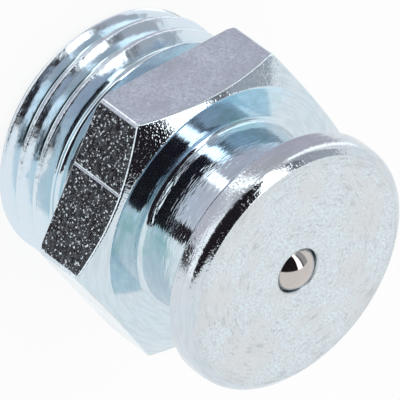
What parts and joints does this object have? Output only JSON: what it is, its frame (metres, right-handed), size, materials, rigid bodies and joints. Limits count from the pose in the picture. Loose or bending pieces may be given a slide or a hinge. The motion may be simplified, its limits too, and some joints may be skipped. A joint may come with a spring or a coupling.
{
  "type": "grease nipple",
  "caption": "Flat button-head grease nipple with a hexagon flange, a threaded shank and a spring-loaded ball valve in the middle of its head.",
  "frame": {"origin": "centre of the thread's end face, on the plane that the part stands on", "axes": "+Z along the axis from the threaded end to the head's face; two corners of the hexagon lie on the Y axis and two of its flats face +X and -X"},
  "size_m": [0.017, 0.0196, 0.0183],
  "materials": {
    "zinc_plated_steel": "bright zinc plating with a cool blue cast over turned and coined faces",
    "polished_ball_steel": "ground and polished bearing ball with a warm grey tone",
    "spring_wire": "drawn spring wire, plain"
  },
  "bodies": {
    "nipple_body": {"body": "zinc_plated_steel", "spring": "spring_wire"},
    "valve_ball": {"ball": "polished_ball_steel"}
  },
  "joints": [
    {"name": "ball_lift", "type": "slide", "parent": "nipple_body", "child": "valve_ball", "axis": [0, 0, -1], "range_m": [0, 0.0025], "stiffness_N_per_m": 1200, "springref_m": -0.001, "deforming": ["spring"]}
  ]
}
